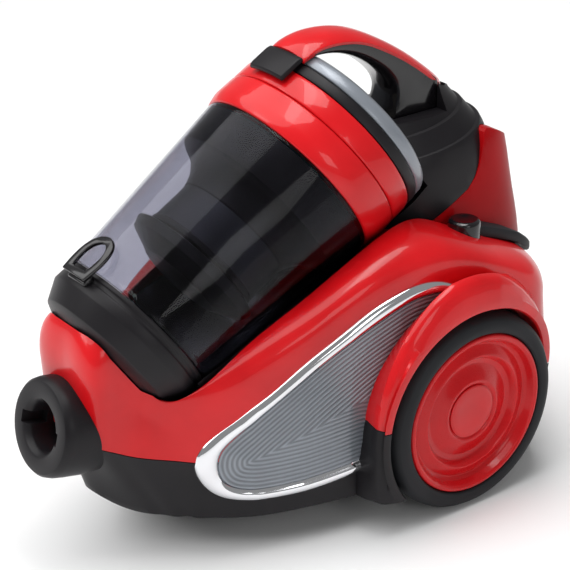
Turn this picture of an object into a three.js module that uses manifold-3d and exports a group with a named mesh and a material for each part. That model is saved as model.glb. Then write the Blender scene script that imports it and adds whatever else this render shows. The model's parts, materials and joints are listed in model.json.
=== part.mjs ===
// Bagless canister vacuum cleaner, drawn as it comes apart on a bench.
// Millimetres. +Z is up, the hose inlet faces -Y, and X = 0 is the mirror plane.
// The origin is on the floor, below the middle of the machine.
import * as THREE from "three";
import { mergeVertices } from "three/addons/utils/BufferGeometryUtils.js";
import Module from "manifold-3d";

const wasm = await Module();
wasm.setup();

// ---- driving dimensions ----
const GAP = 0.35; // running gap between neighbours
const WALL = 3; // moulded wall of the housings
const DEG = Math.PI / 180;
const ROUND = 32; // sides of a large round piece
const SMALL_ROUND = 16; // sides of a small round piece

// chassis and body
const SKIRT_Z = 33; // lower edge of the body above the floor
const SPLIT_Z = 100; // joint between the black chassis and the red body
const SIDE_X = 118; // half width of the body between the wheels
const REAR_Y = 207; // rear wall of the body
const NOSE_Y = -232; // foremost point of the red nose
const NOSE_X = 52; // half width of the nose
const NOSE_Z = 213; // top of the nose, in front of the dust cup
const DECK_Z = 242; // top of the body behind the cup

// wheels
const WHEEL = { y: 89, z: 89, r: 89, hubR: 71.7, faceX: 150, width: 40, boreR: 7 };
const ARCH = { r: 92.5, outerR: 122, faceX: 144, wellX: 104 };
const AXLE_R = 6;
const CASTER = { y: -128, r: 13, width: 16, trail: 10, stemR: 6 };

// hose inlet
const HOSE = { y: -244.5, z: 124.6, r: 39, boreR: 20, length: 52, tilt: 12.8 };

// dust cup: rings square to an axis leaning back by TILT, with centres that creep towards the body
const CUP = { y: -150.3, z: 188.7, tilt: 55.5, creep: 0.068 };
const BIN = { length: 175, bottomR: 71, topR: 85.6, wall: 2.4 };
const LID = { faceR: 50, faceS: -41, beltR: 71.2, beltS: -18 };
const COLLAR = { fromS: 175.4, toS: 205, r: 88.5, innerR: 80 };
const SEPARATOR = { fromS: 205.4, toS: 226, r: 88, innerR: 80 };
const BAND = { fromS: 226.4, toS: 237, r: 87.5, innerR: 78 };
const DOME = { fromS: 237.4, toS: 250, r: 84 };
const CUP_CLEARANCE = 3.5; // between the cup and its cradle

// handle, at rest over the cap of the cup
const HANDLE = { halfWidth: 22, coverThickness: 6 };
const CLIP = { halfWidth: 23, travel: 2.5 };

// machinery
const MOTOR = { x: 42, y: 100, z: 105, r: 40, length: 84, shaftR: 4 };
const REEL = { x: -50, y: 112, z: 105, flangeR: 56, coreR: 24, width: 44 };

// ---- finishes ----
const finish = (color, roughness, metalness = 0) =>
  new THREE.MeshStandardMaterial({ color, roughness, metalness });
const RED = finish(0xd02228, 0.15);
const BLACK = finish(0x221e21, 0.45);
const GLOSS_BLACK = finish(0x161416, 0.15);
const SATIN_GREY = finish(0x6f7478, 0.4, 0.3);
const CHROME = finish(0xe8eaec, 0.08, 1);
const GRILLE_GREY = finish(0x8c9296, 0.4, 0.3);
const SMOKE = new THREE.MeshStandardMaterial({ color: 0x4a4c50, roughness: 0.06, transparent: true, opacity: 0.5 });
const RUBBER = finish(0x2b2d2f, 0.8);
const STEEL = finish(0xb5b8ba, 0.3, 1);
const COPPER = finish(0xb06a3c, 0.4, 0.9);
const FOAM = finish(0x555b60, 0.95);
const PAPER = finish(0xe9e6da, 0.9);
const BOARD = finish(0x2f6b45, 0.6);

// ---- solids ----
const X = new THREE.Vector3(1, 0, 0);
const Y = new THREE.Vector3(0, 1, 0);
const Z = new THREE.Vector3(0, 0, 1);

/** A closed three.js geometry as a manifold solid with its faces outwards. */
function solid(geometry) {
  const bare = geometry.index ? geometry.toNonIndexed() : geometry.clone();
  bare.deleteAttribute("normal");
  bare.deleteAttribute("uv");
  const merged = mergeVertices(bare, 1e-3);
  const triVerts = new Uint32Array(merged.index.array);
  const vertProperties = merged.attributes.position.array;
  const made = new wasm.Manifold(new wasm.Mesh({ numProp: 3, vertProperties, triVerts }));
  if (made.volume() > 0) return made;
  for (let i = 0; i < triVerts.length; i += 3) {
    [triVerts[i + 1], triVerts[i + 2]] = [triVerts[i + 2], triVerts[i + 1]];
  }
  return new wasm.Manifold(new wasm.Mesh({ numProp: 3, vertProperties, triVerts }));
}

/** A manifold solid as a three.js geometry. */
function geometryOf(made) {
  const mesh = made.getMesh();
  const geometry = new THREE.BufferGeometry();
  const position = new Float32Array(mesh.numVert * 3);
  for (let i = 0; i < mesh.numVert; i++) {
    position.set(mesh.vertProperties.subarray(i * mesh.numProp, i * mesh.numProp + 3), i * 3);
  }
  geometry.setAttribute("position", new THREE.BufferAttribute(position, 3));
  geometry.setIndex(new THREE.BufferAttribute(mesh.triVerts, 1));
  geometry.computeVertexNormals();
  return geometry;
}

const union = (...solids) => solids.reduce((a, b) => a.add(b));
const cut = (base, ...tools) => tools.reduce((a, b) => a.subtract(b), base);

function shapeOf(points) {
  return new THREE.Shape(points.map(([a, b]) => new THREE.Vector2(a, b)));
}

/** A closed outline: corner points, with smooth stretches written as arrays of points to spline through. */
function outline(...stretches) {
  const points = [];
  for (const stretch of stretches) {
    if (typeof stretch[0] === "number") {
      points.push(stretch);
      continue;
    }
    const curve = new THREE.SplineCurve(stretch.map(([a, b]) => new THREE.Vector2(a, b)));
    for (const p of curve.getPoints((stretch.length - 1) * 3)) points.push([p.x, p.y]);
  }
  return shapeOf(points);
}

function circle(cx, cy, r, steps = 40) {
  const at = (i) => [cx + r * Math.cos((2 * Math.PI * i) / steps), cy + r * Math.sin((2 * Math.PI * i) / steps)];
  return shapeOf(Array.from({ length: steps }, (_, i) => at(i)));
}

function extrude(shape, depth) {
  return new THREE.ExtrudeGeometry(shape, { depth, bevelEnabled: false, curveSegments: 12 });
}

/** An outline in Y, Z drawn out along X. */
function alongX(shape, x0, x1) {
  const geometry = extrude(shape, x1 - x0).applyMatrix4(new THREE.Matrix4().makeBasis(Y, Z, X));
  return solid(geometry.translate(x0, 0, 0));
}

/** An outline in X, Z drawn out along Y. */
function alongY(shape, y0, y1) {
  const basis = new THREE.Matrix4().makeBasis(X, Z, Y.clone().negate());
  return solid(extrude(shape, y1 - y0).applyMatrix4(basis).translate(0, y1, 0));
}

/** An outline in X, Y drawn out along Z. */
function alongZ(shape, z0, z1) {
  return solid(extrude(shape, z1 - z0).translate(0, 0, z0));
}

function block(x0, x1, y0, y1, z0, z1) {
  const geometry = new THREE.BoxGeometry(x1 - x0, y1 - y0, z1 - z0);
  return solid(geometry.translate((x0 + x1) / 2, (y0 + y1) / 2, (z0 + z1) / 2));
}

/** A body of revolution about Z from a profile of [radius, height] points. */
function turned(profile, segments = ROUND) {
  const points = profile.map(([r, s]) => new THREE.Vector2(r, s));
  return solid(new THREE.LatheGeometry(points, segments).rotateX(Math.PI / 2));
}

/** A ring about Z with a closed rectangular or tapered section. */
function ring(innerR, outerR, z0, z1, segments = ROUND) {
  return turned([[innerR, z0], [outerR, z0], [outerR, z1], [innerR, z1], [innerR, z0]], segments);
}

function disc(r, z0, z1, segments = ROUND) {
  return turned([[0, z0], [r, z0], [r, z1], [0, z1]], segments);
}

const moved = (made, x, y, z) => made.translate([x, y, z]);
const turnZtoX = (made) => made.rotate([0, 90, 0]);
const turnZtoY = (made) => made.rotate([-90, 0, 0]);
const mirrorX = (made) => made.mirror([1, 0, 0]);

// ---- scene graph ----
const vacuum = new THREE.Group();
const dustCup = new THREE.Group();
dustCup.position.set(0, CUP.y, CUP.z);
dustCup.rotation.x = -CUP.tilt * DEG;
dustCup.updateMatrix();
vacuum.add(dustCup);
const hoseInlet = new THREE.Group();
hoseInlet.position.set(0, HOSE.y, HOSE.z);
hoseInlet.rotation.x = (90 - HOSE.tilt) * DEG;
vacuum.add(hoseInlet);

function add(name, made, material, group = vacuum) {
  const mesh = new THREE.Mesh(geometryOf(made), material);
  mesh.name = name;
  group.add(mesh);
}

/** Lets the centres of a cup piece creep towards the body as they rise. */
function creep(made) {
  return made.warp((v) => {
    v[1] += CUP.creep * v[2];
  });
}

/** A solid drawn in the cup's own frame, set in the frame of the whole machine. */
function inCupPlace(made) {
  const m = dustCup.matrix.elements;
  return made.transform([...m]);
}

// ---- body of the machine ----
function planOutline() {
  const side = [
    [NOSE_X, -205], [60, -165], [72, -142], [90, -104], [104, -63], [SIDE_X, -23],
  ];
  const rear = [[SIDE_X, REAR_Y - 30], [SIDE_X - 9, REAR_Y - 9], [SIDE_X - 32, REAR_Y]];
  const nose = [[0, NOSE_Y], [30, NOSE_Y + 2], [47, NOSE_Y + 12], side[0]];
  const half = [...nose.slice(0, -1), ...side, ...rear];
  const other = half.slice(1).reverse().map(([x, y]) => [-x, y]);
  return shapeOf([...half, ...other]);
}

function sideOutline() {
  return outline(
    [-190, SKIRT_Z],
    [REAR_Y - 4, SKIRT_Z],
    [[REAR_Y, 60], [REAR_Y + 1, 120], [197, 167], [171, 212], [146, 234], [115, DECK_Z]],
    [30, DECK_Z],
    [5, 229],
    [-46, 206],
    [-96, 182],
    [-150, 166],
    [-176, 176],
    [-222, NOSE_Z],
    [NOSE_Y, 195],
    [[NOSE_Y, 160], [-222, 120], [-203, 90]],
    [-196, 60],
  );
}

function frontOutline() {
  const half = [
    [150, SKIRT_Z], [150, 150], [119, 196], [104, 222], [92, 236], [70, DECK_Z + 4],
  ];
  return shapeOf([...half, ...half.slice().reverse().map(([x, z]) => [-x, z])]);
}

/** The nose narrows towards its rim, so that the cup's lid shows above its sides. */
function noseTrim() {
  const slope = shapeOf([
    [0, NOSE_Z + 60], [30, NOSE_Z - 8], [44, 176], [80, 158], [160, 150], [160, NOSE_Z + 60],
  ]);
  const right = alongY(slope, -260, -152);
  return union(right, mirrorX(right));
}

function fenders() {
  const drum = turnZtoX(disc(ARCH.outerR, 60, ARCH.faceX, 48)).translate([0, WHEEL.y, WHEEL.z]);
  const level = block(-160, 160, -60, 260, SKIRT_Z, 260);
  const both = union(drum, mirrorX(drum));
  return both.intersect(level);
}

function wheelWells(grow = 0) {
  const r = ARCH.r + grow;
  const well = turnZtoX(disc(r, ARCH.wellX - grow, 170, 48)).translate([0, WHEEL.y, WHEEL.z]);
  return union(well, mirrorX(well));
}

/** The room the cup needs: its own outline grown by a clearance, and swept up out of the cradle. */
function cupRoom(grow) {
  const g = CUP_CLEARANCE + grow;
  const sweep = 200;
  const profile = [
    [LID.faceS - g, LID.faceR + g], [LID.beltS - g, LID.beltR + g], [0, BIN.bottomR + g],
    [BIN.length, COLLAR.r + g], [DOME.toS + g, COLLAR.r + g],
  ];
  const around = turned([[0, profile[0][0]], ...profile.map(([s, r]) => [r, s]), [0, DOME.toS + g]]);
  const above = profile.slice(1).map(([s], i) => {
    const [s0, r0] = profile[i];
    const r1 = profile[i + 1][1];
    const slab = new THREE.BoxGeometry(2, sweep, s - s0).translate(0, -sweep / 2, (s + s0) / 2);
    const p = slab.attributes.position;
    for (let k = 0; k < p.count; k++) {
      const r = p.getZ(k) < (s + s0) / 2 ? r0 : r1;
      p.setX(k, Math.sign(p.getX(k)) * r);
    }
    return solid(slab);
  });
  return inCupPlace(creep(union(around, ...above)));
}

function bodyBlock() {
  const hull = alongZ(planOutline(), 0, 400).intersect(alongX(sideOutline(), -170, 170));
  return union(cut(hull.intersect(alongY(frontOutline(), -260, 260)), noseTrim()), fenders());
}

/** The block shrunk about its middle, as the hollow inside its walls. */
function shrunk(made, wall) {
  const box = made.boundingBox();
  const middle = box.min.map((low, i) => (low + box.max[i]) / 2);
  const scale = box.min.map((low, i) => 1 - (2 * wall) / (box.max[i] - low));
  return made
    .translate(middle.map((m) => -m))
    .scale(scale)
    .translate(middle);
}

const bodyOuter = bodyBlock();
const hollow = cut(shrunk(bodyOuter, WALL), cupRoom(WALL), wheelWells(WALL));
const shell = cut(bodyOuter, hollow, cupRoom(0), wheelWells());
const NECK_HOLE = { r: 34, y: 128 };
const BUTTONS = { x: 81, y: 128, r: 14 };
const EXHAUST = { halfWidth: 62, z0: 118, z1: 158 };
const OUTLET = { x: -62, z: 78, r: 9 };

function axleHoles() {
  const hole = turnZtoX(disc(AXLE_R + GAP, 60, 150, SMALL_ROUND)).translate([0, WHEEL.y, WHEEL.z]);
  return union(hole, mirrorX(hole));
}

/** Turns a solid drawn about Z, with its mouth at z = 0, into the place of the hose collar. */
function inHosePlace(made) {
  return made.rotate([90 - HOSE.tilt, 0, 0]).translate([0, HOSE.y, HOSE.z]);
}

function buildHousing() {
  const above = block(-200, 200, -300, 300, SPLIT_Z + GAP, 400);
  const below = block(-200, 200, -300, 300, 0, SPLIT_Z);
  const hosePocket = inHosePlace(disc(HOSE.r + 1.5, -HOSE.length - GAP, 60));
  const pipeHole = inHosePlace(disc(24, -HOSE.length - 20, 0, 24));
  const neckHole = moved(disc(NECK_HOLE.r, 0, 300), 0, NECK_HOLE.y, 100);
  const buttonHole = moved(disc(BUTTONS.r + 0.6, 150, 300, 24), BUTTONS.x, BUTTONS.y, 0);
  const exhaust = block(-EXHAUST.halfWidth, EXHAUST.halfWidth, 180, 230, EXHAUST.z0, EXHAUST.z1);
  const outlet = turnZtoY(union(disc(OUTLET.r, 180, 230, SMALL_ROUND), disc(12.5, 208, 230, SMALL_ROUND)))
    .translate([OUTLET.x, 0, OUTLET.z]);
  const upper = cut(shell.intersect(above), hosePocket, pipeHole, neckHole, buttonHole, mirrorX(buttonHole), exhaust);
  const stem = moved(disc(CASTER.stemR + GAP, 0, 80, SMALL_ROUND), 0, CASTER.y, 0);
  const boss = moved(disc(CASTER.stemR + 5, SKIRT_Z, 58, SMALL_ROUND), 0, CASTER.y, 0);
  const lower = cut(union(shell.intersect(below), boss), stem, hosePocket, pipeHole, axleHoles(), outlet);
  add("body_shell", largest(upper), RED);
  add("chassis", largest(lower), BLACK);
}

/** The biggest of a solid's separate bodies. */
function largest(made) {
  return made.decompose().sort((a, b) => b.volume() - a.volume())[0];
}

/** Adds a piece that was drawn on the right side, and its mirror image on the left. */
function addPair(name, made, material) {
  add(name + "_right", made, material);
  add(name + "_left", mirrorX(made), material);
}

buildHousing();

// ---- hose inlet ----
function buildHoseInlet() {
  const { r, boreR, length } = HOSE;
  const collar = turned([
    [boreR, -length], [r - 1, -length], [r - 0.4, -20], [r + 1, -14], [r + 1, -6], [r - 3, 0],
    [boreR + 5, 0], [boreR, -5], [boreR, -length],
  ]);
  const notch = block(-boreR - 5, boreR + 5, -4, 4, -14, 1);
  add("hose_collar", cut(collar, notch), BLACK, hoseInlet);
}

function buildInletPipe() {
  const route = [[-192, 112.4], [-165, 98], [-132, 90], [-95, 102], [-50, 124], [-5, 148], [18, 160]];
  const path = new THREE.CatmullRomCurve3(route.map(([y, z]) => new THREE.Vector3(0, y, z)));
  const section = circle(0, 0, 17.5, 12);
  section.holes.push(circle(0, 0, 15, 12));
  add("inlet_pipe", solid(new THREE.ExtrudeGeometry(section, { steps: 16, extrudePath: path })), BLACK);
}

// ---- side trim: a chrome frame round a ribbed grille, on each flank ----
function buildFlanks() {
  const frame = outline([
    [-146, 90], [-143, 103], [-104, 133], [-62, 159], [-19, 190], [28, 209], [56, 211], [92, 203],
  ], [92, 60], [[-21, 62], [-35, 55], [-65, 47], [-98, 48], [-125, 57], [-139, 70]]);
  const opening = outline([
    [-136, 90], [-131, 101], [-97, 126], [-57, 151], [-15, 181], [28, 202], [54, 205], [92, 197],
  ], [92, 70], [[-21, 71], [-40, 64], [-65, 58], [-95, 59], [-117, 67], [-130, 78]]);
  const plate = cut(shrunk(bodyOuter, -2.2), shrunk(bodyOuter, -GAP));
  const fender = turnZtoX(disc(ARCH.outerR + 2.6, 0, 170, 48)).translate([0, WHEEL.y, WHEEL.z]);
  const flank = cut(plate, fender);
  const grille = flank.intersect(alongX(opening, 40, 160));
  const inner = shrunk(alongX(opening, 40, 160), -GAP);
  const trim = cut(flank.intersect(alongX(frame, 40, 160)), inner);
  addPair("side_grille", largest(grille), GRILLE_GREY);
  addPair("side_trim", largest(trim), CHROME);
}

// ---- wheels ----
function buildWheels() {
  const { r, hubR, width, boreR } = WHEEL;
  const place = (made) => turnZtoX(made).translate([WHEEL.faceX, WHEEL.y, WHEEL.z]);
  const tyre = turned([
    [hubR + GAP, -width], [r - 4, -width], [r, -width + 5], [r, -9], [r - 4, -1.5], [r - 9, 0],
    [hubR + 1, -1], [hubR + GAP, -2], [hubR + GAP, -width],
  ], 40);
  const hub = turned([
    [boreR, -width + 2], [16, -width + 2], [18, -16], [hubR - 3.5, -16], [hubR - 3.5, -width + 4],
    [hubR, -width + 4], [hubR, -3], [hubR - 4, -1], [hubR - 9, -6], [49, -4], [47, -8], [25.5, -5],
    [24, -8], [boreR, -8], [boreR, -width + 2],
  ], 40);
  const cap = disc(23.5, -7.6, -5.4, 24);
  const axle = turnZtoX(disc(AXLE_R, 82, 139, SMALL_ROUND)).translate([0, WHEEL.y, WHEEL.z]);
  addPair("wheel_tyre", place(tyre), RUBBER);
  addPair("wheel_hub", place(hub), RED);
  addPair("wheel_cap", place(cap), RED);
  addPair("wheel_axle", axle, STEEL);
}

function buildCaster() {
  const { y, r, width, trail, stemR } = CASTER;
  const legX = width / 2 + 0.8;
  const stem = disc(stemR, 26, 56, SMALL_ROUND);
  const plate = block(-legX - 3, legX + 3, -11, 15, 27.5, 31.5);
  const leg = block(legX, legX + 3, trail - 6, trail + 5, 8, 28);
  const pinHole = turnZtoX(disc(2.4, -20, 20, SMALL_ROUND)).translate([0, trail, r]);
  const fork = cut(union(stem, plate, leg, mirrorX(leg)), pinHole);
  const pin = turnZtoX(disc(2, -legX - 3, legX + 3, SMALL_ROUND));
  const wheel = turnZtoX(ring(2.4, r, -width / 2, width / 2, 24));
  add("caster_fork", moved(fork, 0, y, 0), BLACK);
  add("caster_axle", moved(pin, 0, y + trail, r), STEEL);
  add("caster_wheel", moved(wheel, 0, y + trail, r), RUBBER);
}

// ---- neck and rear panel behind the cup ----
function buildTower() {
  const side = outline(
    [118, 236], [90, 250], [60, 285], [100, 311], [163, 311], [166, 331], [197, 304], [215, 281],
    [[226, 262], [228, 231], [239, 198]], [242, 172], [180, 172],
  );
  const plan = [];
  const steps = 36;
  for (let i = 0; i < steps; i++) {
    const a = (2 * Math.PI * i) / steps;
    const bulge = (v) => Math.sign(v) * Math.abs(v) ** 0.75;
    plan.push([66 * bulge(Math.cos(a)), 140 + 102 * bulge(Math.sin(a))]);
  }
  const half = [[66, 172], [64, 240], [58, 292], [40, 312], [34, 340]];
  const front = shapeOf([...half, ...half.slice().reverse().map(([x, z]) => [-x, z])]);
  const block3 = alongX(side, -120, 120).intersect(alongZ(shapeOf(plan), 160, 350));
  const tower = cut(block3.intersect(alongY(front, 40, 260)), shrunk(bodyOuter, -GAP), cupRoom(-1));
  const seam = [[250, 293], [176, 297], [164, 268], [148, 250], [100, 226]];
  const black = alongX(shapeOf([...seam, [60, 226], [60, 360], [250, 360]]), -130, 130);
  const red = alongX(shapeOf([...seam, [100, 150], [250, 150]]), -130, 130);
  const duct = moved(disc(NECK_HOLE.r - 4, 200, 285), 0, NECK_HOLE.y, 0);
  const mouth = inCupPlace(creep(disc(28, DOME.toS, DOME.toS + 70)));
  add("neck_housing", largest(cut(tower.intersect(black), duct, mouth)), BLACK);
  const panel = largest(cut(tower.intersect(red), shrunk(black.intersect(block3), -GAP), duct));
  const room = shrunk(panel, WALL + 1);
  add("rear_panel", largest(cut(panel, room, moved(room, 0, -6, -6))), RED);
  const band = alongZ(shapeOf(plan.map(([x, y]) => [x * 1.12, 140 + (y - 140) * 1.102])), 188, 200);
  const inner = alongZ(shapeOf(plan.map(([x, y]) => [x * 1.01 + Math.sign(x) * 0.1, 140 + (y - 140) * 1.006])), 180, 210);
  add("bumper_strip", largest(cut(band, inner, shrunk(bodyOuter, -GAP), block(-130, 130, 0, 150, 150, 250))), BLACK);
}

// ---- dust cup, drawn in its own frame: Z along its axis, +Y towards the body ----
function addToCup(name, made, material) {
  add(name, creep(made), material, dustCup);
}

function buildBin() {
  const { length, bottomR, topR, wall } = BIN;
  addToCup("dust_bin", turned([
    [bottomR - wall, 0], [bottomR, 0], [topR, length], [topR - wall, length], [bottomR - wall, 0],
  ]), SMOKE);
  addToCup("bin_lid", turned([
    [0, LID.faceS], [LID.faceR, LID.faceS], [62, -35], [LID.beltR, LID.beltS], [LID.beltR, -GAP],
    [66, -GAP], [66, -12], [0, -12],
  ]), BLACK);
  addToCup("lid_seal", ring(60, 65.6, -11.6, -3, ROUND), RUBBER);
  const pin = turnZtoX(disc(1.2, -8, 8, SMALL_ROUND)).translate([0, LID.beltR + 1.3, -6]);
  addToCup("lid_hinge_pin", pin, STEEL);
  const paddle = block(-17, 17, -79, -75.6, -14, 27);
  const window = block(-10, 10, -80, -70, 6, 22);
  addToCup("lid_latch", cut(paddle, window), SMOKE);
}

function buildCyclone() {
  addToCup("cyclone_skirt", turned([
    [0, 52], [36, 48], [59, 58], [61, 66], [58.5, 66], [55, 60], [36, 53], [34, 69.6], [0, 69.6],
  ]), BLACK);
  addToCup("cyclone_body", turned([
    [0, 70], [51, 70], [51, 113], [62, 129], [78.6, 137], [80, 150], [81.5, 172], [77, 172], [75, 141],
    [58, 133], [47, 117], [47, 74], [0, 74],
  ]), BLACK);
  addToCup("mesh_screen", ring(51 + GAP, 52.4, 76, 110), STEEL);
  const cones = Array.from({ length: 8 }, (_, i) => {
    const cone = turned([[0, 90], [5, 90], [11, 146], [0, 146]], SMALL_ROUND);
    return moved(cone, 0, 30, 0).rotate([0, 0, i * 45]);
  });
  addToCup("cone_cluster", union(disc(73, 145, 149, ROUND), ...cones), BLACK);
}

function buildCap() {
  addToCup("bin_collar", turned([
    [COLLAR.innerR, COLLAR.fromS], [COLLAR.r - 2, COLLAR.fromS], [COLLAR.r, COLLAR.fromS + 6],
    [COLLAR.r, COLLAR.toS], [COLLAR.innerR, COLLAR.toS], [COLLAR.innerR, COLLAR.fromS],
  ]), RED);
  addToCup("separator_ring", ring(SEPARATOR.innerR, SEPARATOR.r, SEPARATOR.fromS, SEPARATOR.toS), RED);
  addToCup("foam_filter", disc(79.4, 207, 222), FOAM);
  addToCup("fine_filter", disc(77, 222.4, 236), PAPER);
  addToCup("cap_band", ring(BAND.innerR, BAND.r, BAND.fromS, BAND.toS), BLACK);
  addToCup("cap_dome", turned([
    [28, 238.5], [78, 238.5], [78, DOME.fromS], [DOME.r, DOME.fromS], [DOME.r, 243], [80, 248.4],
    [72, DOME.toS], [28, DOME.toS], [28, 238.5],
  ]), SATIN_GREY);
}

function buildHandle() {
  const top = [[0.4, 390], [15, 395.2], [41, 397], [62, 393.2], [89, 382], [122, 362.4], [164, 329]];
  const lowered = (drop) => top.map(([y, z]) => [y, z - drop]);
  const t = HANDLE.coverThickness;
  const cover = outline(top, lowered(t).slice(1).reverse());
  const under = [[26, 381.5], [44, 378.5], [74, 364.4], [96, 347], [105, 332], [101, 318]];
  const grip = outline(
    [5.2, 383.8], [1.6, 388.6], lowered(t + GAP).slice(1, -1), [162.6, 322], [162.6, 312], [104, 312],
    under.slice().reverse(), [20, 382.2], [12, 383.1],
  );
  add("handle_cover", alongX(cover, -HANDLE.halfWidth, HANDLE.halfWidth), RED);
  add("handle_grip", alongX(grip, -HANDLE.halfWidth + 1, HANDLE.halfWidth - 1), GLOSS_BLACK);
  const plate = ring(91.4, 95.6, 209, 236.8, 64).intersect(block(-CLIP.halfWidth, CLIP.halfWidth, -120, 0, 200, 240));
  addToCup("release_clip", plate, BLACK);
}

// ---- buttons on the deck ----
function buildButtons() {
  const { x, y, r } = BUTTONS;
  const button = moved(turned([
    [0, 218], [6, 218], [6, 228], [r, 228], [r, 241], [r - 2, 243], [0, 243],
  ], 24), x, y, 0);
  add("power_button", button, BLACK);
  add("rewind_button", mirrorX(button), BLACK);
  add("power_switch", block(x - 12, x + 4, y - 12, y + 12, 190, 214), BLACK);
}

// ---- rear outlet and cord gland ----
function buildExhaust() {
  const { halfWidth, z0, z1 } = EXHAUST;
  const plate = block(-halfWidth + GAP, halfWidth - GAP, 200, 208.5, z0 + GAP, z1 - GAP);
  const slots = Array.from({ length: 5 }, (_, i) => {
    const z = z0 + 5 + i * 7;
    return block(-halfWidth + 6, halfWidth - 6, 190, 220, z, z + 3.2);
  });
  add("exhaust_grille", cut(plate, ...slots), BLACK);
  add("exhaust_filter", block(-56, 56, 184, 199.5, z0 + 3, z1 - 6), PAPER);
  const gland = turned([[4.5, 199], [OUTLET.r - GAP, 199], [OUTLET.r - GAP, 208.6], [12, 208.6], [12, 211],
    [4.5, 211], [4.5, 199]], SMALL_ROUND);
  add("cord_gland", turnZtoY(gland).translate([OUTLET.x, 0, OUTLET.z]), BLACK);
}

// ---- motor and fan ----
function buildMotor() {
  const { x, z, r, shaftR } = MOTOR;
  const place = (made) => turnZtoY(made).translate([x, 0, z]);
  add("motor_can", place(turned([
    [r - 3, 60], [r, 60], [r, 142], [shaftR + 1, 142], [shaftR + 1, 139], [r - 3, 139], [r - 3, 60],
  ], 24)), STEEL);
  add("motor_stator", place(ring(27, r - 3 - GAP, 78, 124, 24)), STEEL);
  add("motor_armature", place(ring(shaftR + GAP, 26, 80, 122, 24)), COPPER);
  add("motor_shaft", place(disc(shaftR, 32, 146, SMALL_ROUND)), STEEL);
  const fan = union(ring(shaftR + GAP, 40, 52, 54, 24), ring(14, 40, 38, 40, 24), ...blades(9, 12, 39));
  add("impeller", place(fan), STEEL);
  add("fan_shroud", place(turned([
    [16, 34], [46, 34], [46, 59.6], [r - 12, 59.6], [r - 12, 57], [43.5, 57], [43.5, 36.5], [16, 36.5], [16, 34],
  ], 24)), BLACK);
  add("motor_mount_front", place(ring(r + GAP, 45, 68, 78, 24)), RUBBER);
  add("motor_mount_rear", place(ring(r + GAP, 45, 124, 134, 24)), RUBBER);
  const seat = cut(block(x - 30, x + 30, 64, 138, SKIRT_Z + WALL + 1, z - 34), place(disc(45 + GAP, 0, 200, 24)));
  add("motor_cradle", largest(seat), BLACK);
}

/** Upright fan blades between two discs, about Z. */
function blades(count, r0, r1) {
  return Array.from({ length: count }, (_, i) =>
    block(r0, r1, -0.8, 0.8, 39.5, 52.5).rotate([0, 0, (i * 360) / count]));
}

// ---- cord reel with its spindle and brake ----
function buildReel() {
  const { x, y, z, flangeR, coreR, width } = REEL;
  const place = (made) => turnZtoX(made).translate([x, y, z]);
  const h = width / 2;
  add("reel_spool", place(turned([
    [7, -h], [flangeR, -h], [flangeR, -h + 2.5], [coreR, -h + 2.5], [coreR, h - 2.5], [flangeR, h - 2.5],
    [flangeR, h], [7, h], [7, -h],
  ])), FOAM);
  add("reel_spindle", place(disc(6, -h - 6, h + 4, SMALL_ROUND)), STEEL);
  add("reel_bracket", cut(
    block(x - h - 6, x - h - 2, y - 20, y + 20, SKIRT_Z + WALL + 1, z + 14),
    place(disc(6 + GAP, -h - 20, h, SMALL_ROUND)),
  ), BLACK);
  const roller = { y: y + (flangeR + 7.6) * Math.SQRT1_2, z: z + (flangeR + 7.6) * Math.SQRT1_2, r: 7 };
  const arm = union(
    turnZtoX(disc(6, x - 12, x - 8, SMALL_ROUND)).translate([0, 183, 128]),
    turnZtoX(disc(5, x - 12, x - 8, SMALL_ROUND)).translate([0, roller.y, roller.z]),
    alongX(shapeOf([[179, 124], [187, 132], [roller.y + 4, roller.z + 4], [roller.y - 4, roller.z - 3]]), x - 12, x - 8),
  );
  add("brake_arm", arm, BLACK);
  const wheel = turnZtoX(disc(roller.r, x - 7.6, x + 7.6, SMALL_ROUND)).translate([0, roller.y, roller.z]);
  add("brake_roller", wheel, RUBBER);
}

buildHoseInlet();
buildInletPipe();
buildFlanks();
buildWheels();
buildCaster();
buildTower();
buildBin();
buildCyclone();
buildCap();
buildHandle();
buildButtons();
buildExhaust();
buildMotor();
buildReel();

export default vacuum;
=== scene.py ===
"""A bagless canister vacuum cleaner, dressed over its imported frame.

Lengths in the classes below are millimetres; the scene is in metres. +Z is up, -Y is the hose end
and X = 0 is the middle plane. Each sub-assembly is a class that models its own pieces.
"""

from __future__ import annotations

import sys

import json
import logging
import math
from collections.abc import Callable, Sequence
from dataclasses import dataclass, field
from enum import Enum

import bmesh
import bpy
import numpy as np
from mathutils import Matrix, Vector

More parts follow.
